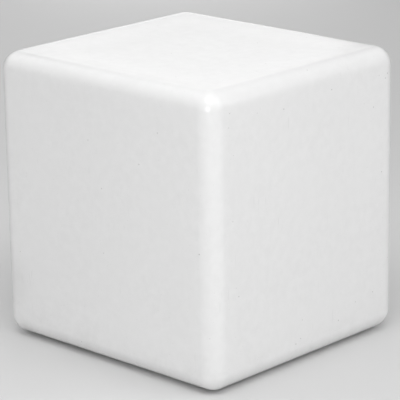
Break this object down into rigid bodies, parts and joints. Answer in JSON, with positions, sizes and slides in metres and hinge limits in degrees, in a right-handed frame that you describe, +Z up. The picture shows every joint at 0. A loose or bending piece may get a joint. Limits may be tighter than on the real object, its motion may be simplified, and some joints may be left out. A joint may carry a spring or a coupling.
{
  "type": "display plinth",
  "caption": "Hollow rounded cube plinth in white moulded plastic with a slightly sunken top, screw-adjusted feet and a screw-in ballast hatch in its base.",
  "frame": {"origin": "on the floor, under the middle of the plinth", "axes": "+Z up, -Y towards the front face, +X towards the right side face"},
  "size_m": [0.4, 0.375, 0.405],
  "materials": {
    "shell_polyethylene": "satin, as moulded",
    "base_plastic": "fine matt",
    "lid_nylon": "fine matt",
    "pad_nylon": "fine matt",
    "vent_plastic": "fine matt",
    "sole_rubber": "matt",
    "seal_rubber": "smooth",
    "zinc_steel": "zinc plated",
    "insert_brass": "machined"
  },
  "bodies": {
    "shell": {"body_shell": "shell_polyethylene", "base_plate": "base_plastic", "base_gasket": "seal_rubber", "base_screws": "zinc_steel", "base_inserts": "insert_brass", "foot_inserts": "insert_brass", "vent_plug": "vent_plastic"},
    "lid_seal": {"lid_o_ring": "seal_rubber"},
    "lid": {"hatch_lid": "lid_nylon"},
    "pad_front_left": {"foot_pad_front_left": "pad_nylon", "foot_sole_front_left": "sole_rubber"},
    "spindle_front_left": {"foot_spindle_front_left": "zinc_steel", "foot_nut_front_left": "zinc_steel"},
    "pad_front_right": {"foot_pad_front_right": "pad_nylon", "foot_sole_front_right": "sole_rubber"},
    "spindle_front_right": {"foot_spindle_front_right": "zinc_steel", "foot_nut_front_right": "zinc_steel"},
    "pad_rear_left": {"foot_pad_rear_left": "pad_nylon", "foot_sole_rear_left": "sole_rubber"},
    "spindle_rear_left": {"foot_spindle_rear_left": "zinc_steel", "foot_nut_rear_left": "zinc_steel"},
    "pad_rear_right": {"foot_pad_rear_right": "pad_nylon", "foot_sole_rear_right": "sole_rubber"},
    "spindle_rear_right": {"foot_spindle_rear_right": "zinc_steel", "foot_nut_rear_right": "zinc_steel"}
  },
  "joints": [
    {"name": "foot_front_left_travel", "type": "slide", "parent": "shell", "child": "pad_front_left", "axis": [0, 0, -1], "range_m": [0, 0.01]},
    {"name": "foot_front_left_turn", "type": "hinge", "parent": "pad_front_left", "child": "spindle_front_left", "pos_m": [-0.115, -0.1025, 0.0105], "axis": [0, 0, -1], "range_deg": [0, 2880]},
    {"name": "foot_front_right_travel", "type": "slide", "parent": "shell", "child": "pad_front_right", "axis": [0, 0, -1], "range_m": [0, 0.01]},
    {"name": "foot_front_right_turn", "type": "hinge", "parent": "pad_front_right", "child": "spindle_front_right", "pos_m": [0.115, -0.1025, 0.0105], "axis": [0, 0, -1], "range_deg": [0, 2880]},
    {"name": "foot_rear_left_travel", "type": "slide", "parent": "shell", "child": "pad_rear_left", "axis": [0, 0, -1], "range_m": [0, 0.01]},
    {"name": "foot_rear_left_turn", "type": "hinge", "parent": "pad_rear_left", "child": "spindle_rear_left", "pos_m": [-0.115, 0.1025, 0.0105], "axis": [0, 0, -1], "range_deg": [0, 2880]},
    {"name": "foot_rear_right_travel", "type": "slide", "parent": "shell", "child": "pad_rear_right", "axis": [0, 0, -1], "range_m": [0, 0.01]},
    {"name": "foot_rear_right_turn", "type": "hinge", "parent": "pad_rear_right", "child": "spindle_rear_right", "pos_m": [0.115, 0.1025, 0.0105], "axis": [0, 0, -1], "range_deg": [0, 2880]},
    {"name": "lid_travel", "type": "slide", "parent": "shell", "child": "lid_seal", "axis": [0, 0, -1], "range_m": [0, 0.01]},
    {"name": "lid_turn", "type": "hinge", "parent": "lid_seal", "child": "lid", "pos_m": [0, 0, 0.015], "axis": [0, 0, -1], "range_deg": [0, 900]}
  ],
  "couplings": [
    {"joint": "foot_front_left_turn", "follows": "foot_front_left_travel", "rad_per_m": 5026.5},
    {"joint": "foot_front_right_turn", "follows": "foot_front_right_travel", "rad_per_m": 5026.5},
    {"joint": "foot_rear_left_turn", "follows": "foot_rear_left_travel", "rad_per_m": 5026.5},
    {"joint": "foot_rear_right_turn", "follows": "foot_rear_right_travel", "rad_per_m": 5026.5},
    {"joint": "lid_turn", "follows": "lid_travel", "rad_per_m": 1570.8}
  ]
}
